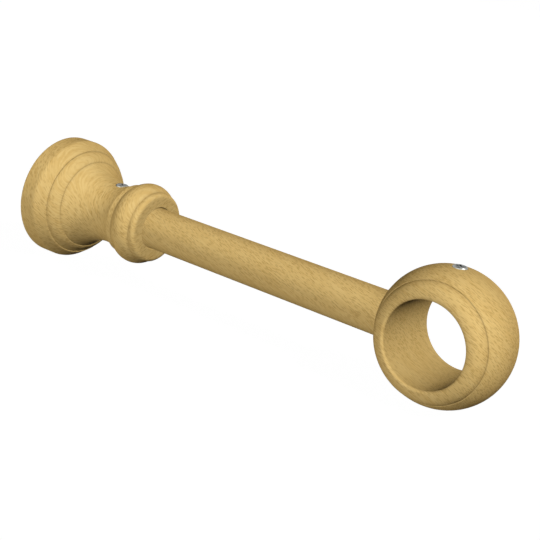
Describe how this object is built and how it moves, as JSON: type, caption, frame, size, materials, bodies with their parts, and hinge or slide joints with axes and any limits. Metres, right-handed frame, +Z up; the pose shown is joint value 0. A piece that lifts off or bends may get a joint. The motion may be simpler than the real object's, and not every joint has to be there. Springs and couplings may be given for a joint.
{
  "type": "curtain pole bracket",
  "caption": "Turned wooden wall bracket for a curtain pole: a stepped round rose with a waisted neck and beaded collar, a plain dowel arm and a barrel-shaped ring that the pole passes through.",
  "frame": {"origin": "centre of the flat wall face, on the arm's axis", "axes": "+Y into the wall, the arm runs out along -Y, the pole lies along X, +Z up"},
  "size_m": [0.0484, 0.204, 0.0485],
  "materials": {
    "beech": "satin clear lacquer on turned beech",
    "zinc_plated_steel": "bright zinc plating"
  },
  "bodies": {
    "root": {"wall_rose": "beech", "arm": "beech", "pole_ring": "beech", "arm_lock_screw": "zinc_plated_steel", "pole_lock_screw": "zinc_plated_steel"}
  },
  "joints": []
}
